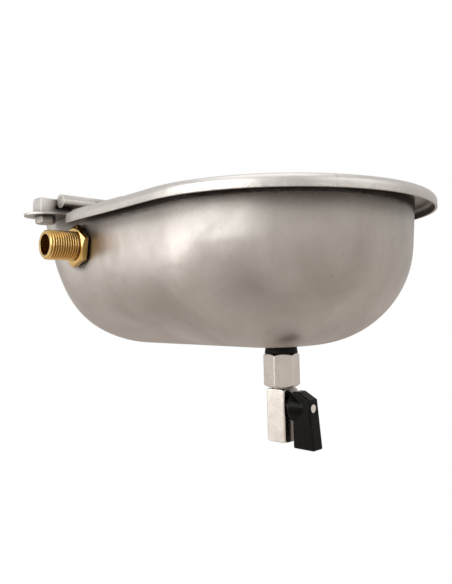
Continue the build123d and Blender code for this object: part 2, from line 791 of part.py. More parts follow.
with BuildPart() as valve_body:
    with BuildSketch(Plane.XY.offset(valve_bottom_z)):
        with Locations((drain_x, 0)):
            RectangleRounded(valve_side, valve_side, valve_edge_radius)
    extrude(amount=valve_length)
    # The ends of the square bar are turned to a cone, which rounds off its corners
    corner_radius = valve_side / 2 * 2**0.5
    with BuildSketch(Plane.XZ):
        with BuildLine():
            Polyline(
                (drain_x, valve_bottom_z),
                (drain_x + corner_radius - valve_end_bevel, valve_bottom_z),
                (drain_x + corner_radius, valve_bottom_z + valve_end_bevel),
                (drain_x + corner_radius, valve_top_z - valve_end_bevel),
                (drain_x + corner_radius - valve_end_bevel, valve_top_z),
                (drain_x, valve_top_z),
                close=True,
            )
        make_face()
    revolve(axis=drain_axis, mode=Mode.INTERSECT)
    with BuildSketch(Plane.XY.offset(valve_top_z)):
        with Locations((drain_x, 0)):
            Circle(valve_neck_radius)
    extrude(amount=valve_neck_height)
    with BuildSketch(Plane.XY.offset(coupling_bottom_z)):
        with Locations((drain_x, 0)):
            Circle(valve_spigot_radius)
    extrude(amount=valve_spigot_length)
    with BuildSketch(stem_plane.offset(face_x)):
        Circle(gland_boss_radius)
    extrude(amount=gland_boss_height)
    with BuildSketch(Plane.XY.offset(valve_bottom_z)):
        with Locations((drain_x, 0)):
            Circle(chamber_radius)
    extrude(amount=ball_z + seat_far - valve_bottom_z, mode=Mode.SUBTRACT)
    with BuildSketch(Plane.XY.offset(ball_z)):
        with Locations((drain_x, 0)):
            Circle(port_radius)
    extrude(amount=coupling_bottom_z + valve_spigot_length - ball_z, mode=Mode.SUBTRACT)
    with BuildSketch(stem_plane):
        Circle(stem_radius + stem_clearance)
    extrude(amount=gland_start_x, mode=Mode.SUBTRACT)
    with BuildSketch(stem_plane.offset(gland_start_x)):
        Circle(o_ring_seat_radius)
    extrude(amount=-2 * o_ring_radius, mode=Mode.SUBTRACT)
valve_body.part.label = "valve_body"
export_step(valve_body.part, "parts/valve_body.step")

for side, name in ((1, "upper_seat"), (-1, "lower_seat")):
    with BuildPart() as seat:
        with BuildSketch(Plane.XY.offset(ball_z + side * seat_near)):
            with Locations((drain_x, 0)):
                Circle(seat_radius)
                Circle(port_radius, mode=Mode.SUBTRACT)
        extrude(amount=side * (seat_far - seat_near))
        with Locations(ball_point):
            Sphere(ball_radius + ball_clearance, mode=Mode.SUBTRACT)
    seat.part.label = name
    export_step(seat.part, f"parts/{name}.step")

with BuildPart() as valve_retainer:
    with BuildSketch(Plane.XY.offset(valve_bottom_z)):
        with Locations((drain_x, 0)):
            Circle(seat_radius)
            Circle(port_radius, mode=Mode.SUBTRACT)
    extrude(amount=ball_z - seat_far - valve_bottom_z)
    with BuildSketch(Plane.XY.offset(valve_bottom_z)):
        with Locations((drain_x, 0)):
            Circle(retainer_thread_radius)
    extrude(amount=retainer_thread_depth, mode=Mode.SUBTRACT)
valve_retainer.part.label = "valve_retainer"
export_step(valve_retainer.part, "parts/valve_retainer.step")

tang_start_x = ball_radius - tang_depth + tang_gap
with BuildPart() as valve_ball:
    with Locations(ball_point):
        Sphere(ball_radius)
    with BuildSketch(Plane.XY.offset(ball_z)):
        with Locations((drain_x, 0)):
            Circle(port_radius)
    extrude(amount=ball_radius, both=True, mode=Mode.SUBTRACT)
    with BuildSketch(stem_plane.offset(ball_radius - tang_depth)):
        Rectangle(2 * ball_radius, tang_width + 2 * tang_gap)
    extrude(amount=tang_depth, mode=Mode.SUBTRACT)
valve_ball.part.label = "valve_ball"
export_step(valve_ball.part, "parts/valve_ball.step")

with BuildPart() as valve_stem:
    with BuildSketch(stem_plane.offset(tang_start_x)):
        Rectangle(tang_length, tang_width)
    extrude(amount=ball_radius + stem_shoulder_gap - tang_start_x)
    with BuildSketch(stem_plane.offset(ball_radius + stem_shoulder_gap)):
        Circle(stem_radius)
    extrude(amount=stem_end_x - ball_radius - stem_shoulder_gap)
    with BuildSketch(stem_plane.offset(stem_end_x)):
        Circle(screw_radius + screw_clearance)
    screw_tip_x = screw_floor_x - screw_length
    extrude(amount=screw_tip_x - screw_hole_spare - stem_end_x, mode=Mode.SUBTRACT)
valve_stem.part.label = "valve_stem"
export_step(valve_stem.part, "parts/valve_stem.step")

with BuildPart() as stem_o_ring:
    with Locations(stem_plane.offset(gland_start_x - o_ring_radius)):
        Torus(stem_radius + stem_clearance + o_ring_radius, o_ring_radius)
stem_o_ring.part.label = "stem_o_ring"
export_step(stem_o_ring.part, "parts/stem_o_ring.step")

with BuildPart() as gland_nut:
    with Locations(stem_plane.offset(gland_start_x)):
        add(hex_block(gland_flats, gland_thickness, 0, bevel_low=False))
    with BuildSketch(stem_plane.offset(gland_start_x)):
        Circle(stem_radius + stem_clearance)
    extrude(amount=gland_thickness, mode=Mode.SUBTRACT)
gland_nut.part.label = "gland_nut"
export_step(gland_nut.part, "parts/gland_nut.step")

# Lever

hub_start_x = gland_end_x + hub_gap
with BuildPart() as lever_handle:
    with BuildSketch(lever_plane):
        with BuildLine():
            Polyline(
                (blade_inner_x, blade_top),
                (blade_crown_x, blade_top),
                (blade_outer_x, blade_shoulder),
                (blade_outer_x + blade_flare, -blade_bottom),
                (blade_inner_x, -blade_bottom),
                close=True,
            )
        make_face()
    extrude(amount=blade_half_width, both=True)
    fillet(lever_handle.edges(), radius=blade_edge_radius)
    with BuildSketch(lever_plane):
        with BuildLine():
            Polyline(
                (hub_start_x, 0),
                (hub_start_x, hub_radius),
                (hub_start_x + hub_rim, hub_radius),
                (hub_end_x, hub_end_radius),
                (hub_end_x, 0),
                close=True,
            )
        make_face()
    revolve(axis=Axis(ball_point, (1, 0, 0)))
    with BuildSketch(stem_plane.offset(hub_start_x)):
        Circle(stem_radius + stem_clearance)
    extrude(amount=stem_end_x - hub_start_x, mode=Mode.SUBTRACT)
    with BuildSketch(stem_plane.offset(stem_end_x)):
        Circle(screw_radius + screw_clearance)
    extrude(amount=screw_floor_x - stem_end_x, mode=Mode.SUBTRACT)
    with BuildSketch(stem_plane.offset(screw_floor_x)):
        Circle(screw_head_radius + screw_recess_clearance)
    extrude(amount=blade_outer_x + blade_flare - screw_floor_x, mode=Mode.SUBTRACT)
lever_handle.part.label = "lever_handle"
export_step(lever_handle.part, "parts/lever_handle.step")

with BuildPart() as lever_screw:
    with BuildSketch(stem_plane.offset(screw_floor_x)):
        Circle(screw_head_radius)
    extrude(amount=screw_head_height)
    with BuildSketch(stem_plane.offset(screw_floor_x)):
        Circle(screw_radius)
    extrude(amount=-screw_length)
lever_screw.part.label = "lever_screw"
export_step(lever_screw.part, "parts/lever_screw.step")
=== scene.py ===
import json
import math

import bmesh
import bpy
from mathutils import Matrix, Vector


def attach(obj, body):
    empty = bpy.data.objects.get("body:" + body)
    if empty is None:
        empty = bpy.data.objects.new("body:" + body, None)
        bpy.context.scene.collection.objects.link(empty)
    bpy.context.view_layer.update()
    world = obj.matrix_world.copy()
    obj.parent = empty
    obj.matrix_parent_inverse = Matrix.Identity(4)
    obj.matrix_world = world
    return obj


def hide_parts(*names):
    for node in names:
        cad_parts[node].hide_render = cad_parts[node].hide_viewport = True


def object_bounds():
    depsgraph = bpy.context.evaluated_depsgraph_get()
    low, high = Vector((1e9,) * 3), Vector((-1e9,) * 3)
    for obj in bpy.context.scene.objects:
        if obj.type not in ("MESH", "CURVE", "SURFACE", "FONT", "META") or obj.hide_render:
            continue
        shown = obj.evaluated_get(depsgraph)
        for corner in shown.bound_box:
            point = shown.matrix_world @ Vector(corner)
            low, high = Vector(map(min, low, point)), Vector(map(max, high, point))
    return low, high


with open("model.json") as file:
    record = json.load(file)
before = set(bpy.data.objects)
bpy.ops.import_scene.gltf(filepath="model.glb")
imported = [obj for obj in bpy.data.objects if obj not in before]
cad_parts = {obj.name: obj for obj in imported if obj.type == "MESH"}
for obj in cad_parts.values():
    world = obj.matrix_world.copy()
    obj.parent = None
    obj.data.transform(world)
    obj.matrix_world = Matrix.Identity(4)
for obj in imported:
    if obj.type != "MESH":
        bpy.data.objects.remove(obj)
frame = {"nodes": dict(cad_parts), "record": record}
cadLow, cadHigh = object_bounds()
nodes = frame["nodes"]
record = frame["record"]
scene = bpy.context.scene
print("frame loaded:", len(nodes), "nodes")


# Small helpers for node trees. A value is a socket, a plain number or a colour.

def addNode(tree, kind, **settings):
    node = tree.nodes.new(kind)
    for name, value in settings.items():
        setattr(node, name, value)
    return node


def feed(tree, value, target):
    if isinstance(value, bpy.types.NodeSocket):
        tree.links.new(value, target)
    elif target.type == "RGBA":
        target.default_value = (*value[:3], 1)
    else:
        target.default_value = value


def feedAll(tree, node, values):
    for name, value in values.items():
        feed(tree, value, node.inputs[name])
    return node


def mathNode(tree, operation, first, second=None, clamp=False):
    node = addNode(tree, "ShaderNodeMath", operation=operation, use_clamp=clamp)
    feed(tree, first, node.inputs[0])
    if second is not None:
        feed(tree, second, node.inputs[1])
    return node.outputs[0]


def plus(tree, first, second):
    return mathNode(tree, "ADD", first, second)


def minus(tree, first, second):
    return mathNode(tree, "SUBTRACT", first, second)


def times(tree, first, second):
    return mathNode(tree, "MULTIPLY", first, second)


def apart(tree, first, second):
    return mathNode(tree, "ABSOLUTE", minus(tree, first, second))


def mixColours(tree, factor, first, second, blend="MIX"):
    node = addNode(tree, "ShaderNodeMix", data_type="RGBA", blend_type=blend)
    for slot, value in ((0, factor), (6, first), (7, second)):
        feed(tree, value, node.inputs[slot])
    return node.outputs[2]


def rangeNode(tree, value, span, result, shape="LINEAR"):
    # span and result are each a pair of ends
    node = addNode(tree, "ShaderNodeMapRange", clamp=True, interpolation_type=shape)
    feedAll(tree, node, {
        "Value": value,
        "From Min": span[0],
        "From Max": span[1],
        "To Min": result[0],
        "To Max": result[1],
    })
    return node.outputs["Result"]


def noiseNode(tree, place, scale, detail=3.0, roughness=0.5, distortion=0.0):
    node = addNode(tree, "ShaderNodeTexNoise")
    feedAll(tree, node, {
        "Vector": place,
        "Scale": scale,
        "Detail": detail,
        "Roughness": roughness,
        "Distortion": distortion,
    })
    return node.outputs["Fac"]


def objectPlace(tree):
    return addNode(tree, "ShaderNodeTexCoord").outputs["Object"]


def placeParts(tree):
    parts = addNode(tree, "ShaderNodeSeparateXYZ")
    feed(tree, objectPlace(tree), parts.inputs[0])
    return parts.outputs


def newGroup(name, inputs, outputs):
    group = bpy.data.node_groups.new(name, "ShaderNodeTree")
    for label, kind, value in inputs:
        socket = group.interface.new_socket(name=label, in_out="INPUT", socket_type=kind)
        socket.default_value = value
    for label, kind in outputs:
        group.interface.new_socket(name=label, in_out="OUTPUT", socket_type=kind)
    return group, addNode(group, "NodeGroupInput").outputs, addNode(group, "NodeGroupOutput")


def useGroup(tree, group, values):
    return feedAll(tree, addNode(tree, "ShaderNodeGroup", node_tree=group), values).outputs


floatKind, colourKind, vectorKind = "NodeSocketFloat", "NodeSocketColor", "NodeSocketVector"


# Rolled or machined metal: cloudy tone, fine grain along one way and uneven gloss
satinFixed = {
    "cloudNoise": {"detail": 4.0, "roughness": 0.55, "distortion": 0.6},
    "cloudSpan": (0.36, 0.66),
    "grainNoise": {"detail": 2.0, "roughness": 0.6},
    "grainSpan": (0.3, 0.7),
    "grainTone": (0.975, 1.02),
    "grainGloss": (-0.02, 0.02),
    "patchNoise": {"detail": 5.0, "roughness": 0.65, "distortion": 1.2},
    "patchSpan": (0.35, 0.68),
}


def makeSatinGroup(fixed):
    group, given, result = newGroup(
        "satinMetal",
        [
            ("Tone", colourKind, (0.6, 0.6, 0.6, 1)),
            ("Cloud Tone", colourKind, (0.5, 0.5, 0.5, 1)),
            ("Cloud Scale", floatKind, 14.0),
            ("Grain Scale", floatKind, 900.0),
            ("Grain Stretch", vectorKind, (1, 1, 1)),
            ("Gloss Low", floatKind, 0.3),
            ("Gloss High", floatKind, 0.4),
            ("Grain Height", floatKind, 0.3),
        ],
        [("Colour", colourKind), ("Roughness", floatKind), ("Height", floatKind)],
    )
    place = objectPlace(group)
    clouds = noiseNode(group, place, given["Cloud Scale"], **fixed["cloudNoise"])
    cloudMask = rangeNode(group, clouds, fixed["cloudSpan"], (0.0, 1.0))
    tone = mixColours(group, cloudMask, given["Tone"], given["Cloud Tone"])
    stretched = addNode(group, "ShaderNodeVectorMath", operation="MULTIPLY")
    feed(group, place, stretched.inputs[0])
    feed(group, given["Grain Stretch"], stretched.inputs[1])
    grain = noiseNode(group, stretched.outputs[0], given["Grain Scale"], **fixed["grainNoise"])
    grainTone = rangeNode(group, grain, fixed["grainSpan"], fixed["grainTone"])
    grey = addNode(group, "ShaderNodeCombineColor")
    for channel in grey.inputs:
        feed(group, grainTone, channel)
    patches = noiseNode(group, place, given["Cloud Scale"], **fixed["patchNoise"])
    gloss = rangeNode(
        group, patches, fixed["patchSpan"], (given["Gloss Low"], given["Gloss High"])
    )
    grainGloss = rangeNode(group, grain, fixed["grainSpan"], fixed["grainGloss"])
    feedAll(group, result, {
        "Colour": mixColours(group, 1.0, tone, grey.outputs[0], "MULTIPLY"),
        "Roughness": plus(group, gloss, grainGloss),
        "Height": times(group, grain, given["Grain Height"]),
    })
    return group


# Short curved hairlines that cross at odd angles, and small dents
scratchFixed = {
    "turns": ((0.3, 0.2, 0.9), (1.2, 0.8, 2.3)),
    "stretch": (1.0, 0.35, 1.0),
    "lineNoise": {"detail": 1.0, "roughness": 0.4, "distortion": 1.4},
    "breakScale": 2.7,  # of the lines' own scale
    "breakLevel": 0.78,
    "breakSoftness": 0.06,
    "pitRarity": 0.72,
}


def makeScratchGroup(fixed):
    group, given, result = newGroup(
        "handlingMarks",
        [
            ("Line Scale", floatKind, 26.0),
            ("Line Width", floatKind, 0.012),
            ("Share", floatKind, 0.35),
            ("Pit Scale", floatKind, 120.0),
            ("Pit Size", floatKind, 0.12),
        ],
        [("Lines", floatKind), ("Pits", floatKind)],
    )
    place = objectPlace(group)
    lines = []
    for turn in fixed["turns"]:
        turned = addNode(group, "ShaderNodeMapping", vector_type="POINT")
        feedAll(group, turned, {"Vector": place, "Rotation": turn, "Scale": fixed["stretch"]})
        field = noiseNode(group, turned.outputs[0], given["Line Scale"], **fixed["lineNoise"])
        offCentre = apart(group, field, 0.5)
        lines.append(rangeNode(group, offCentre, (0.0, given["Line Width"]), (1.0, 0.0)))
    both = mathNode(group, "MAXIMUM", *lines)
    broken = noiseNode(group, place, times(group, given["Line Scale"], fixed["breakScale"]))
    keepFrom = minus(group, fixed["breakLevel"], given["Share"])
    keepFull = plus(group, keepFrom, fixed["breakSoftness"])
    keep = rangeNode(group, broken, (keepFrom, keepFull), (0.0, 1.0))
    cells = addNode(group, "ShaderNodeTexVoronoi", feature="F1")
    feedAll(group, cells, {"Vector": place, "Scale": given["Pit Scale"]})
    pits = rangeNode(group, cells.outputs["Distance"], (0.0, given["Pit Size"]), (1.0, 0.0))
    cellTone = addNode(group, "ShaderNodeSeparateColor")
    feed(group, cells.outputs["Color"], cellTone.inputs[0])
    chosen = mathNode(group, "GREATER_THAN", cellTone.outputs[0], fixed["pitRarity"])
    feedAll(group, result, {"Lines": times(group, both, keep), "Pits": times(group, pits, chosen)})
    return group


# Where an edge is worn bright and carries a painted highlight: the rounded normal departs from the
# true one
edgeFixed = {
    "samples": 10,
    "agreeSpan": (0.88, 0.99),
    "wearNoise": {"detail": 3.0, "roughness": 0.6},
    "wearSpan": (0.35, 0.6),
}


def makeEdgeGroup(fixed):
    group, given, result = newGroup(
        "edgeWearAndHighlight",
        [
            ("Width", floatKind, 0.0005),
            ("Break Up Scale", floatKind, 300.0),
            ("Least", floatKind, 0.45),
        ],
        [("Edge", floatKind), ("Normal", vectorKind)],
    )
    bevel = addNode(group, "ShaderNodeBevel", samples=fixed["samples"])
    feed(group, given["Width"], bevel.inputs["Radius"])
    trueNormal = addNode(group, "ShaderNodeNewGeometry").outputs["Normal"]
    agree = addNode(group, "ShaderNodeVectorMath", operation="DOT_PRODUCT")
    feed(group, bevel.outputs[0], agree.inputs[0])
    feed(group, trueNormal, agree.inputs[1])
    edge = rangeNode(group, agree.outputs["Value"], fixed["agreeSpan"], (1.0, 0.0))
    wear = noiseNode(group, objectPlace(group), given["Break Up Scale"], **fixed["wearNoise"])
    worn = rangeNode(group, wear, fixed["wearSpan"], (given["Least"], 1.0))
    feedAll(group, result, {"Edge": times(group, edge, worn), "Normal": bevel.outputs[0]})
    return group


# Painted shade: the colour darkens where neighbours close in and less light comes in, 1 in a deep
# corner
paintedShadeFixed = {"samples": 8}


def makePaintedShadeGroup(fixed):
    group, given, result = newGroup(
        "paintedCornerShade",
        [
            ("Reach", floatKind, 0.02),
            ("Open From", floatKind, 0.85),
            ("Closed From", floatKind, 0.55),
        ],
        [("PaintedShade", floatKind)],
    )
    around = addNode(group, "ShaderNodeAmbientOcclusion", samples=fixed["samples"])
    feed(group, given["Reach"], around.inputs["Distance"])
    span = (given["Closed From"], given["Open From"])
    feed(group, rangeNode(group, around.outputs["AO"], span, (1.0, 0.0)), result.inputs["PaintedShade"])
    return group


satinGroup = makeSatinGroup(satinFixed)
scratchGroup = makeScratchGroup(scratchFixed)
edgeGroup = makeEdgeGroup(edgeFixed)
paintedShadeGroup = makePaintedShadeGroup(paintedShadeFixed)
print("shared effects ready")


def newMaterial(name, metallic):
    material = bpy.data.materials.new(name)
    material.use_nodes = True
    tree = material.node_tree
    tree.nodes.clear()
    shader = addNode(tree, "ShaderNodeBsdfPrincipled")
    feed(tree, metallic, shader.inputs["Metallic"])
    output = addNode(tree, "ShaderNodeOutputMaterial")
    feed(tree, shader.outputs[0], output.inputs["Surface"])
    return material, tree, shader


def bumpNode(tree, height, normal, strength=1.0, distance=1.0):
    bump = addNode(tree, "ShaderNodeBump")
    feedAll(tree, bump, {
        "Strength": strength, "Distance": distance, "Height": height, "Normal": normal,
    })
    return bump.outputs[0]


def tint(tree, colour, mask, look, part):
    # Blends the part's tone in where its mask is, by its share at most
    return mixColours(tree, times(tree, mask, look[part + "Share"]), colour, look[part + "Tone"])


def rimHighlightMask(tree, rimHighlight):
    # Painted highlight: 1 on the brim and its skirt, which are made lighter, 0 on the bowl's wall
    # below them and on the ears
    parts = placeParts(tree)
    high = rangeNode(tree, parts["Z"], (rimHighlight["start"], rimHighlight["full"]), (0.0, 1.0))
    pastEars = (rimHighlight["earEnd"], rimHighlight["earEnd"] + rimHighlight["softness"])
    return times(tree, high, rangeNode(tree, parts["X"], pastEars, (0.0, 1.0)))


def blendWidth(tree, blend, elsewhere):
    # A wide radius where the upright wall runs into the sweep, and a fine one at the edges
    offLevel = apart(tree, placeParts(tree)["Z"], blend["level"])
    span = (blend["span"] / 2, blend["span"])
    return rangeNode(tree, offLevel, span, (blend["width"], elsewhere))


def swellNormal(tree, swell, normal):
    # The drawn wall isn't dead straight: it swells softly between the brim and the floor's sweep
    place = objectPlace(tree)
    z = placeParts(tree)["Z"]
    heights = (swell["low"], swell["high"])
    rise = rangeNode(tree, z, heights, (0.0, swell["height"]), "SMOOTHSTEP")
    waves = noiseNode(tree, place, swell["waveScale"], **swell["waveNoise"])
    wall = plus(tree, rise, times(tree, waves, swell["waveHeight"]))
    # The skirt puckers a little where the drawn edge was folded down
    offLip = apart(tree, z, swell["lipLevel"])
    nearLip = rangeNode(tree, offLip, (0.0, swell["lipSpan"]), (swell["puckerHeight"], 0.0))
    puckers = noiseNode(tree, place, swell["puckerScale"], **swell["puckerNoise"])
    return bumpNode(tree, plus(tree, wall, times(tree, puckers, nearLip)), normal)


markDepth = 0.6  # of the hairlines and pits, beside a grain height of 0.08 to 0.5


def metalFinish(name, look):
    material, tree, shader = newMaterial(name, 1.0)
    satin = useGroup(tree, satinGroup, look["satin"])
    marks = useGroup(tree, scratchGroup, look["marks"])
    paintedShade = useGroup(tree, paintedShadeGroup, look["paintedShade"])
    edgeValues = dict(look["edge"])
    if "blend" in look:
        edgeValues["Width"] = blendWidth(tree, look["blend"], look["edge"]["Width"])
    edge = useGroup(tree, edgeGroup, edgeValues)
    colour = satin["Colour"]
    normal = edge["Normal"]
    # Painted highlight: the brim and its skirt get a lighter tone
    if "rimHighlight" in look:
        colour = mixColours(tree, rimHighlightMask(tree, look["rimHighlight"]), colour, look["rimHighlight"]["tone"])
    if "swell" in look:
        normal = swellNormal(tree, look["swell"], normal)
    colour = tint(tree, colour, marks["Lines"], look, "line")
    colour = tint(tree, colour, marks["Pits"], look, "pit")
    # Edges lightened by wear and by a painted highlight
    colour = tint(tree, colour, edge["Edge"], look, "edge")
    # Painted shade darkens the colour in corners, in recesses and under the brim
    colour = tint(tree, colour, paintedShade["PaintedShade"], look, "paintedShade")
    cut = times(tree, plus(tree, marks["Lines"], marks["Pits"]), markDepth)
    height = minus(tree, satin["Height"], cut)
    feedAll(tree, shader, {
        "Base Color": colour,
        "Roughness": satin["Roughness"],
        "Normal": bumpNode(tree, height, normal, look["bump"], look["bumpDepth"]),
    })
    return material


def plainFinish(name, look):
    # Rubber and plastic: a cloudy tone, a fine moulded surface, and softened edges lightened by
    # wear and a painted highlight
    material, tree, shader = newMaterial(name, 0.0)
    satin = useGroup(tree, satinGroup, look["satin"])
    marks = useGroup(tree, scratchGroup, look["marks"])
    edge = useGroup(tree, edgeGroup, look["edge"])
    colour = tint(tree, satin["Colour"], marks["Lines"], look, "line")
    colour = tint(tree, colour, edge["Edge"], look, "edge")
    feedAll(tree, shader, {
        "Base Color": colour,
        "Roughness": satin["Roughness"],
        "Normal": bumpNode(
            tree, satin["Height"], edge["Normal"], look["bump"], look["bumpDepth"]
        ),
        "Specular IOR Level": look["shine"],
    })
    return material


sheetSteel = {
    "satin": {
        "Tone": (0.63, 0.60, 0.565),
        "Cloud Tone": (0.50, 0.465, 0.43),
        "Cloud Scale": 16.0,
        "Grain Scale": 620.0,
        "Grain Stretch": (1.0, 1.0, 0.35),
        "Gloss Low": 0.33,
        "Gloss High": 0.44,
        "Grain Height": 0.2,
    },
    "marks": {
        "Line Scale": 30.0, "Line Width": 0.007, "Share": 0.22,
        "Pit Scale": 90.0, "Pit Size": 0.07,
    },
    "edge": {"Width": 0.0008, "Break Up Scale": 240.0},
    "paintedShade": {"Reach": 0.026, "Open From": 0.90, "Closed From": 0.66},
    "lineShare": 0.35, "lineTone": (0.36, 0.34, 0.32),
    "pitShare": 0.3, "pitTone": (0.3, 0.28, 0.26),
    "edgeShare": 0.8, "edgeTone": (0.95, 0.94, 0.93),
    # Heights are on the part's own Z and the ears' end on its X, in metres; the rim's lighter tone
    # is a painted highlight
    "rimHighlight": {
        "start": 0.0125, "full": 0.0200,
        "earEnd": 0.062, "softness": 0.004,
        "tone": (0.73, 0.71, 0.685),
    },
    "swell": {
        "low": -0.036, "high": 0.022, "height": 0.0030,
        "waveScale": 22.0, "waveHeight": 0.0008,
        "waveNoise": {"detail": 2.0, "roughness": 0.5, "distortion": 0.8},
        "lipLevel": 0.0140, "lipSpan": 0.0045,
        "puckerScale": 240.0, "puckerHeight": 0.0004,
        "puckerNoise": {"detail": 3.0, "roughness": 0.6, "distortion": 1.5},
    },
    "blend": {"level": -0.0107, "span": 0.016, "width": 0.008},
    # Share and tone of the painted shade under the brim and in corners
    "paintedShadeShare": 0.88, "paintedShadeTone": (0.12, 0.104, 0.092),
    "bump": 0.12, "bumpDepth": 0.0002,
}
barSteel = {
    "satin": {
        "Tone": (0.70, 0.67, 0.64),
        "Cloud Tone": (0.56, 0.535, 0.505),
        "Cloud Scale": 60.0,
        "Grain Scale": 700.0,
        "Grain Stretch": (1.0, 0.12, 1.0),
        "Gloss Low": 0.28,
        "Gloss High": 0.42,
        "Grain Height": 0.5,
    },
    "marks": {
        "Line Scale": 90.0, "Line Width": 0.012, "Share": 0.25,
        "Pit Scale": 300.0, "Pit Size": 0.1,
    },
    "edge": {"Width": 0.0006, "Break Up Scale": 400.0},
    "paintedShade": {"Reach": 0.010, "Open From": 0.80, "Closed From": 0.45},
    "lineShare": 0.35, "lineTone": (0.4, 0.38, 0.36),
    "pitShare": 0.4, "pitTone": (0.33, 0.31, 0.29),
    "edgeShare": 0.9, "edgeTone": (0.98, 0.97, 0.96),
    "paintedShadeShare": 0.85, "paintedShadeTone": (0.08, 0.07, 0.06),
    "bump": 0.1, "bumpDepth": 0.0002,
}
boltSteel = {
    **barSteel,
    "satin": {
        **barSteel["satin"],
        "Tone": (0.42, 0.39, 0.35),
        "Cloud Tone": (0.34, 0.315, 0.28),
        "Grain Stretch": (1.0, 1.0, 1.0),
        "Gloss Low": 0.30,
        "Gloss High": 0.46,
    },
}
couplingSteel = {
    **barSteel,
    "satin": {
        "Tone": (0.80, 0.755, 0.705),
        "Cloud Tone": (0.73, 0.68, 0.63),
        "Cloud Scale": 90.0,
        "Grain Scale": 2400.0,
        "Grain Stretch": (1.0, 1.0, 0.2),
        "Gloss Low": 0.24,
        "Gloss High": 0.32,
        "Grain Height": 0.08,
    },
    "edge": {"Width": 0.0013, "Break Up Scale": 500.0, "Least": 0.95},
    "edgeShare": 0.9, "edgeTone": (1.0, 0.99, 0.98),
    "bump": 0.04, "bumpDepth": 0.0001,
}
zincPlate = {
    **barSteel,
    "satin": {
        **barSteel["satin"],
        "Tone": (0.97, 0.95, 0.92),
        "Cloud Tone": (0.90, 0.87, 0.83),
        "Cloud Scale": 500.0,
        "Grain Stretch": (1.0, 1.0, 1.0),
    },
    "paintedShadeShare": 0.1,
}
brassFinish = {
    "satin": {
        "Tone": (0.92, 0.645, 0.25),
        "Cloud Tone": (0.80, 0.51, 0.165),
        "Cloud Scale": 70.0,
        "Grain Scale": 1300.0,
        "Grain Stretch": (1.0, 0.3, 1.0),
        "Gloss Low": 0.14,
        "Gloss High": 0.24,
        "Grain Height": 0.12,
    },
    "marks": {
        "Line Scale": 160.0, "Line Width": 0.012, "Share": 0.2,
        "Pit Scale": 420.0, "Pit Size": 0.1,
    },
    "edge": {"Width": 0.0005, "Break Up Scale": 500.0},
    "paintedShade": {"Reach": 0.0022, "Open From": 0.85, "Closed From": 0.45},
    "lineShare": 0.3, "lineTone": (0.45, 0.28, 0.1),
    "pitShare": 0.4, "pitTone": (0.35, 0.2, 0.07),
    "edgeShare": 0.8, "edgeTone": (1.0, 0.86, 0.58),
    # Painted shade in the thread roots and beside the wall
    "paintedShadeShare": 0.6, "paintedShadeTone": (0.24, 0.12, 0.02),
    "bump": 0.04, "bumpDepth": 0.0001,
}
nickelPlate = {
    "satin": {
        "Tone": (0.86, 0.83, 0.79),
        "Cloud Tone": (0.76, 0.72, 0.67),
        "Cloud Scale": 120.0,
        "Grain Scale": 600.0,
        "Grain Stretch": (1.0, 1.0, 1.0),
        "Gloss Low": 0.13,
        "Gloss High": 0.22,
        "Grain Height": 0.12,
    },
    "marks": {
        "Line Scale": 120.0, "Line Width": 0.01, "Share": 0.15,
        "Pit Scale": 380.0, "Pit Size": 0.16,
    },
    "edge": {"Width": 0.0006, "Break Up Scale": 300.0},
    "paintedShade": {"Reach": 0.012, "Open From": 0.80, "Closed From": 0.45},
    "lineShare": 0.2, "lineTone": (0.5, 0.47, 0.43),
    "pitShare": 0.5, "pitTone": (0.45, 0.41, 0.37),
    "edgeShare": 0.4, "edgeTone": (0.95, 0.94, 0.92),
    "paintedShadeShare": 0.8, "paintedShadeTone": (0.08, 0.07, 0.06),
    "bump": 0.12, "bumpDepth": 0.0002,
}
ballChrome = {
    **nickelPlate,
    "satin": {
        **nickelPlate["satin"],
        "Tone": (0.85, 0.85, 0.85),
        "Cloud Tone": (0.8, 0.8, 0.8),
        "Gloss Low": 0.06,
        "Gloss High": 0.12,
        "Grain Height": 0.1,
    },
}
rubberLook = {
    "shine": 0.2,
    "satin": {
        "Tone": (0.006, 0.006, 0.006),
        "Cloud Tone": (0.010, 0.010, 0.010),
        "Cloud Scale": 160.0,
        "Grain Scale": 900.0,
        "Grain Stretch": (1.0, 1.0, 1.0),
        "Gloss Low": 0.45,
        "Gloss High": 0.65,
        "Grain Height": 0.6,
    },
    "marks": {"Line Scale": 120.0, "Line Width": 0.01, "Share": 0.2},
    "edge": {"Width": 0.0003, "Break Up Scale": 400.0},
    "lineShare": 0.3, "lineTone": (0.05, 0.05, 0.05),
    "edgeShare": 0.2, "edgeTone": (0.06, 0.06, 0.06),
    "bump": 0.3, "bumpDepth": 0.0002,
}
leverLook = {
    **rubberLook,
    "shine": 0.13,
    "satin": {
        **rubberLook["satin"],
        "Tone": (0.0028, 0.0028, 0.0025),
        "Cloud Tone": (0.0045, 0.0045, 0.004),
        "Gloss Low": 0.18,
        "Gloss High": 0.28,
        "Grain Height": 0.1,
    },
    "edge": {"Width": 0.0005, "Break Up Scale": 300.0},
    "edgeShare": 0.2, "edgeTone": (0.03, 0.03, 0.03),
    "bump": 0.12, "bumpDepth": 0.0002,
}
whitePlasticLook = {
    **rubberLook,
    "shine": 0.5,
    "satin": {
        **rubberLook["satin"],
        "Tone": (0.84, 0.84, 0.81),
        "Cloud Tone": (0.80, 0.80, 0.76),
        "Gloss Low": 0.35,
        "Gloss High": 0.5,
    },
    "lineTone": (0.7, 0.7, 0.66),
    "edgeTone": (0.9, 0.9, 0.88),
}
floatPlasticLook = {
    **whitePlasticLook,
    "satin": {
        **whitePlasticLook["satin"],
        "Tone": (0.80, 0.79, 0.72),
        "Cloud Tone": (0.74, 0.73, 0.65),
        "Cloud Scale": 40.0,
    },
    "edge": {"Width": 0.0012, "Break Up Scale": 200.0},
}

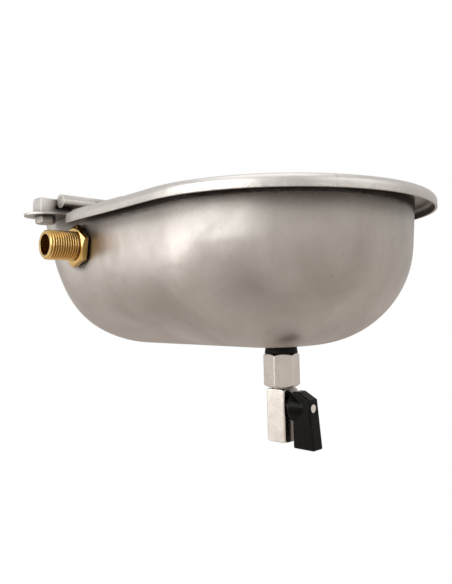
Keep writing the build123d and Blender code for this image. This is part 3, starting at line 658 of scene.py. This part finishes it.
finishes = {
    "stainless_sheet": metalFinish("stainlessSheet", sheetSteel),
    "stainless_bar": metalFinish("stainlessBar", barSteel),
    "bolt_steel": metalFinish("boltSteel", boltSteel),
    "brass": metalFinish("machinedBrass", brassFinish),
    "satin_steel": metalFinish("satinCoupling", couplingSteel),
    "nickel_plate": metalFinish("nickelPlate", nickelPlate),
    "ball_chrome": metalFinish("ballChrome", ballChrome),
    "zinc_screw": metalFinish("zincPlate", zincPlate),
    "black_rubber": plainFinish("blackRubber", rubberLook),
    "black_lever": plainFinish("blackLever", leverLook),
    "white_plastic": plainFinish("whitePlastic", whitePlasticLook),
    "float_plastic": plainFinish("floatPlastic", floatPlasticLook),
}
for node in nodes.values():
    for place in node.material_slots:
        place.material = finishes[place.material.name]
print("finishes ready:", len(finishes))


# The inlet tail with its thread, as one mesh with the rest of the float valve's body
tail = {
    "pitch": 0.001814,
    "depth": 0.00116,
    "crestShare": 0.16,  # of the pitch, left flat on top of each thread
    "rootShare": 0.16,
    "chamfer": 0.0012,
    "boreRadius": 0.0075,
    "cornersRound": 96,
    "ringsPerTurn": 12,
    "beforeMiddle": 0.010,  # the threaded part's start and end from the mount's middle
    "afterMiddle": 0.0112,
    "mergeDistance": 1e-6,
}


def mergedCopy(nodeName, name):
    mesh = nodes[nodeName].data.copy()
    mesh.name = name
    shape = bmesh.new()
    shape.from_mesh(mesh)
    bmesh.ops.remove_doubles(shape, verts=shape.verts, dist=tail["mergeDistance"])
    return mesh, shape


def ridgeRadius(tree, size, height, turn):
    # The thread's own profile round the tail: 1 on its crest, 0 at its root, less the chamfer
    phase = mathNode(tree, "FRACT", plus(
        tree, mathNode(tree, "DIVIDE", height, size["Pitch"]), turn
    ))
    fromMiddle = times(tree, apart(tree, phase, 0.5), 2.0)
    rootStart = minus(tree, 1.0, size["Root Share"])
    slope = mathNode(
        tree, "DIVIDE", minus(tree, rootStart, fromMiddle),
        minus(tree, rootStart, size["Crest Share"]), clamp=True,
    )
    root = minus(tree, size["Crest Radius"], size["Depth"])
    ridge = plus(tree, root, times(tree, slope, size["Depth"]))
    fromEnd = minus(tree, size["Length"], height)
    endLimit = plus(tree, minus(tree, size["Crest Radius"], size["Chamfer"]), fromEnd)
    return mathNode(tree, "MINIMUM", ridge, endLimit)


def makeThreadTree():
    # A closed sleeve on Z: its outside is a helical ridge, its inside the tail's bore
    tree = bpy.data.node_groups.new("tailThread", "GeometryNodeTree")
    inputs = {
        floatKind: (
            "Crest Radius", "Bore Radius", "Depth", "Pitch", "Length", "Chamfer",
            "Crest Share", "Root Share",
        ),
        "NodeSocketInt": ("Corners", "Rings"),
        "NodeSocketMaterial": ("Finish",),
    }
    for kind, labels in inputs.items():
        for label in labels:
            tree.interface.new_socket(name=label, in_out="INPUT", socket_type=kind)
    tree.interface.new_socket(
        name="Geometry", in_out="OUTPUT", socket_type="NodeSocketGeometry"
    )
    size = addNode(tree, "NodeGroupInput").outputs
    result = addNode(tree, "NodeGroupOutput")
    # Columns go round the tail. Rows go up the outside, and one more row closes the bore.
    rows = plus(tree, size["Rings"], 3)
    grid = addNode(tree, "GeometryNodeMeshGrid")
    feedAll(tree, grid, {
        "Vertices X": plus(tree, size["Corners"], 1),
        "Vertices Y": rows,
        "Size X": 1.0,
        "Size Y": 1.0,
    })
    index = addNode(tree, "GeometryNodeInputIndex").outputs[0]
    column = mathNode(tree, "FLOOR", mathNode(tree, "DIVIDE", plus(tree, index, 0.5), rows))
    row = minus(tree, index, times(tree, column, rows))
    turn = mathNode(tree, "DIVIDE", column, size["Corners"])
    # The last row lies on the first one, and the one before it is the bore's far end
    ridgeEnd = plus(tree, size["Rings"], 0.5)
    boreEnd = plus(tree, size["Rings"], 1.5)
    onRidge = mathNode(tree, "LESS_THAN", row, ridgeEnd)
    onBoreEnd = times(
        tree, mathNode(tree, "GREATER_THAN", row, ridgeEnd),
        mathNode(tree, "LESS_THAN", row, boreEnd),
    )
    along = mathNode(tree, "DIVIDE", row, size["Rings"], clamp=True)
    upTail = times(tree, along, plus(tree, onRidge, onBoreEnd))
    height = times(tree, upTail, size["Length"])
    outside = times(tree, ridgeRadius(tree, size, height, turn), onRidge)
    inside = times(tree, size["Bore Radius"], minus(tree, 1.0, onRidge))
    radius = plus(tree, outside, inside)
    angle = times(tree, turn, 2 * math.pi)
    place = addNode(tree, "ShaderNodeCombineXYZ")
    feed(tree, times(tree, radius, mathNode(tree, "COSINE", angle)), place.inputs[0])
    feed(tree, times(tree, radius, mathNode(tree, "SINE", angle)), place.inputs[1])
    feed(tree, height, place.inputs[2])
    moved = addNode(tree, "GeometryNodeSetPosition")
    feedAll(tree, moved, {"Geometry": grid.outputs["Mesh"], "Position": place.outputs[0]})
    closed = addNode(tree, "GeometryNodeMergeByDistance")
    feedAll(tree, closed, {"Geometry": moved.outputs[0], "Distance": tail["mergeDistance"]})
    single = addNode(tree, "GeometryNodeRealizeInstances")
    feed(tree, closed.outputs[0], single.inputs[0])
    finish = addNode(tree, "GeometryNodeSetMaterial")
    feedAll(tree, finish, {"Geometry": single.outputs[0], "Material": size["Finish"]})
    feed(tree, finish.outputs[0], result.inputs["Geometry"])
    return tree


def bakeTree(tree, values, name):
    # The tree's result as a plain mesh
    holder = bpy.data.objects.new(name + "Holder", bpy.data.meshes.new(name + "Holder"))
    scene.collection.objects.link(holder)
    modifier = holder.modifiers.new(name, "NODES")
    modifier.node_group = tree
    for item in tree.interface.items_tree:
        if item.item_type == "SOCKET" and item.in_out == "INPUT":
            modifier[item.identifier] = values[item.name]
    evaluated = holder.evaluated_get(bpy.context.evaluated_depsgraph_get())
    mesh = bpy.data.meshes.new_from_object(evaluated)
    holder.modifiers.clear()
    bpy.data.objects.remove(holder)
    return mesh


def addPiece(mesh, name, body):
    piece = bpy.data.objects.new(name, mesh)
    scene.collection.objects.link(piece)
    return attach(piece, body)


inletMount = next(mount for mount in record["mounts"] if mount["name"] == "inlet_thread")
tailAxis = Vector(inletMount["axis"]).normalized()
tailMiddle = Vector(inletMount["pos_m"])
threadStart = tailMiddle - tailAxis * tail["beforeMiddle"]
threadLength = tail["beforeMiddle"] + tail["afterMiddle"]
threadTurns = threadLength / tail["pitch"]
sleeve = bakeTree(
    makeThreadTree(),
    {
        "Crest Radius": inletMount["dims"]["r_mm"] / 1000,
        "Bore Radius": tail["boreRadius"],
        "Depth": tail["depth"],
        "Pitch": tail["pitch"],
        "Length": threadLength,
        "Chamfer": tail["chamfer"],
        "Crest Share": tail["crestShare"],
        "Root Share": tail["rootShare"],
        "Corners": tail["cornersRound"],
        "Rings": round(threadTurns * tail["ringsPerTurn"]),
        "Finish": finishes["brass"],
    },
    "threadSleeve",
)
alongTail = tailAxis.to_track_quat("Z", "Y").to_matrix().to_4x4()
sleeve.transform(Matrix.Translation(threadStart) @ alongTail)

tailMesh, tailShape = mergedCopy("float_valve_body", "threadedValveBody")
everything = tailShape.verts[:] + tailShape.edges[:] + tailShape.faces[:]
bmesh.ops.bisect_plane(
    tailShape, geom=everything, plane_co=threadStart, plane_no=tailAxis, clear_outer=True
)
openEdges = [edge for edge in tailShape.edges if edge.is_boundary]
bmesh.ops.triangle_fill(tailShape, edges=openEdges, use_beauty=True)
tailShape.from_mesh(sleeve)
bmesh.ops.recalc_face_normals(tailShape, faces=tailShape.faces)
for face in tailShape.faces:
    face.smooth = False
tailShape.to_mesh(tailMesh)
tailShape.free()
threadedBody = addPiece(tailMesh, "threaded_valve_body", "bowl")
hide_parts("float_valve_body")
print("thread cut:", round(threadTurns, 1), "turns")


# The floor, the sky, the lamps and the camera
studio = {
    "floorDrop": 0.30,  # below the lowest point of the object, which hangs on a wall
    "floorSize": 6.0,
    "floorTone": (0.80, 0.79, 0.78),
    "seenWhite": 1.0,
    "glossLevel": 0.63,
    "glossTone": (1.0, 0.90, 0.83),
    "shadeLevel": 0.36,  # the painted shadow that metal sees on the floor below the front of the bowl
    "shadeSpot": (0.34, -0.40),
    "shadeRadius": 0.34,
    "skyLevel": 0.45,
    "skyGloss": 0.66,
    "skyTone": (1.0, 0.97, 0.94),
}
middle = (cadLow + cadHigh) / 2
floorLevel = cadLow.z - studio["floorDrop"]


def emptyMaterial(name):
    material = bpy.data.materials.new(name)
    material.use_nodes = True
    material.node_tree.nodes.clear()
    return material, material.node_tree


def mixShaders(tree, factor, first, second):
    mix = addNode(tree, "ShaderNodeMixShader")
    for slot, value in enumerate((factor, first, second)):
        feed(tree, value, mix.inputs[slot])
    return mix.outputs[0]


def lightNode(tree, kind, tone, strength):
    return feedAll(tree, addNode(tree, kind), {"Color": tone, "Strength": strength}).outputs[0]


def seenDirectly(tree, rays):
    return mathNode(tree, "MAXIMUM", rays["Is Camera Ray"], rays["Is Transmission Ray"])


def makeFloorMaterial(look):
    # White to the eye, warm and dimmer in reflections with a painted shadow spot below the bowl,
    # matt to everything else
    material, tree = emptyMaterial("paleFloor")
    rays = addNode(tree, "ShaderNodeLightPath").outputs
    matt = addNode(tree, "ShaderNodeBsdfDiffuse")
    feed(tree, look["floorTone"], matt.inputs["Color"])
    spot = addNode(tree, "ShaderNodeVectorMath", operation="DISTANCE")
    feed(tree, objectPlace(tree), spot.inputs[0])
    feed(tree, (*look["shadeSpot"], floorLevel), spot.inputs[1])
    levels = (look["shadeLevel"], look["glossLevel"])
    level = rangeNode(tree, spot.outputs["Value"], (0.0, look["shadeRadius"]), levels)
    reflected = lightNode(tree, "ShaderNodeEmission", look["glossTone"], level)
    seen = lightNode(tree, "ShaderNodeEmission", (1, 1, 1), look["seenWhite"])
    unseen = mixShaders(tree, rays["Is Glossy Ray"], matt.outputs[0], reflected)
    above = mixShaders(tree, seenDirectly(tree, rays), unseen, seen)
    # From below the floor is clear, so that the underside can be looked at too
    facing = addNode(tree, "ShaderNodeNewGeometry").outputs
    clear = addNode(tree, "ShaderNodeBsdfTransparent").outputs[0]
    surface = mixShaders(tree, facing["Backfacing"], above, clear)
    feed(tree, surface, addNode(tree, "ShaderNodeOutputMaterial").inputs["Surface"])
    return material


def makeFloor(look):
    mesh = bpy.data.meshes.new("studioFloor")
    shape = bmesh.new()
    bmesh.ops.create_grid(shape, x_segments=1, y_segments=1, size=look["floorSize"] / 2)
    bmesh.ops.translate(shape, verts=shape.verts, vec=(middle.x, middle.y, floorLevel))
    shape.to_mesh(mesh)
    shape.free()
    mesh.materials.append(makeFloorMaterial(look))
    floor = bpy.data.objects.new("studioFloor", mesh)
    scene.collection.objects.link(floor)


def makeSky(look):
    world = bpy.data.worlds.new("paleStudio")
    scene.world = world
    world.use_nodes = True
    tree = world.node_tree
    tree.nodes.clear()
    rays = addNode(tree, "ShaderNodeLightPath").outputs
    inGloss = times(tree, rays["Is Glossy Ray"], look["skyGloss"] - look["skyLevel"])
    level = plus(tree, look["skyLevel"], inGloss)
    unseen = lightNode(tree, "ShaderNodeBackground", look["skyTone"], level)
    seen = lightNode(tree, "ShaderNodeBackground", (1, 1, 1), look["seenWhite"])
    surface = mixShaders(tree, seenDirectly(tree, rays), unseen, seen)
    feed(tree, surface, addNode(tree, "ShaderNodeOutputWorld").inputs["Surface"])


# Azimuth 0 is in front of the inlet's side and 90 in front of the bowl
lamps = {
    "keySoftbox": {
        "azimuth": -38, "elevation": 2, "distance": 0.95,
        "width": 0.48, "height": 0.34, "radiance": 2.0,
    },
    "lowCard": {
        "azimuth": -46, "elevation": -12, "distance": 0.95,
        "width": 0.40, "height": 0.28, "radiance": 0.4,
    },
    "frontSoftbox": {
        "azimuth": 5, "elevation": 20, "distance": 1.10,
        "width": 1.22, "height": 0.70, "radiance": 2.15,
    },
    "rightSoftbox": {
        "azimuth": 100, "elevation": 26, "distance": 1.20,
        "width": 0.95, "height": 0.55, "radiance": 0.8,
    },
    "topSoftbox": {
        "azimuth": 45, "elevation": 82, "distance": 1.10,
        "width": 1.00, "height": 1.00, "radiance": 0.8,
    },
    "rearSoftbox": {
        "azimuth": 215, "elevation": 35, "distance": 1.30,
        "width": 0.80, "height": 0.60, "radiance": 0.7,
    },
}


def aimOf(azimuth, elevation):
    flat = math.cos(math.radians(elevation))
    return Vector((
        math.sin(math.radians(azimuth)) * flat,
        -math.cos(math.radians(azimuth)) * flat,
        math.sin(math.radians(elevation)),
    ))


def addLamp(name, look):
    light = bpy.data.lights.new(name, "AREA")
    light.shape = "RECTANGLE"
    light.size, light.size_y = look["width"], look["height"]
    light.energy = look["radiance"] * math.pi * look["width"] * look["height"]
    lamp = bpy.data.objects.new(name, light)
    scene.collection.objects.link(lamp)
    aim = aimOf(look["azimuth"], look["elevation"])
    lamp.location = middle + aim * look["distance"]
    lamp.rotation_euler = aim.to_track_quat("Z", "Y").to_euler()


view = {
    "place": (0.4457, -0.3281, -0.0484),
    "azimuth": 44.528,
    "elevation": -1.369,
    "roll": -1.397,
    "focalPixels": 600,
    "imageHeight": 584,
    "sensor": 36,
    "clipStart": 0.01,
}


def addCamera(look):
    data = bpy.data.cameras.new("camera")
    data.sensor_width = look["sensor"]
    data.lens = look["focalPixels"] * look["sensor"] / look["imageHeight"]
    data.clip_start = look["clipStart"]
    camera = bpy.data.objects.new("camera", data)
    scene.collection.objects.link(camera)
    scene.camera = camera
    turn = math.radians(look["azimuth"])
    back = aimOf(look["azimuth"], look["elevation"])
    right = Vector((math.cos(turn), math.sin(turn), 0))
    upright = Matrix((right, back.cross(right), back)).transposed()
    rolled = upright @ Matrix.Rotation(math.radians(look["roll"]), 3, "Z")
    camera.matrix_world = Matrix.Translation(look["place"]) @ rolled.to_4x4()


makeFloor(studio)
makeSky(studio)
for name, look in lamps.items():
    addLamp(name, look)
addCamera(view)
scene.view_settings.view_transform = "Standard"
print("studio ready")
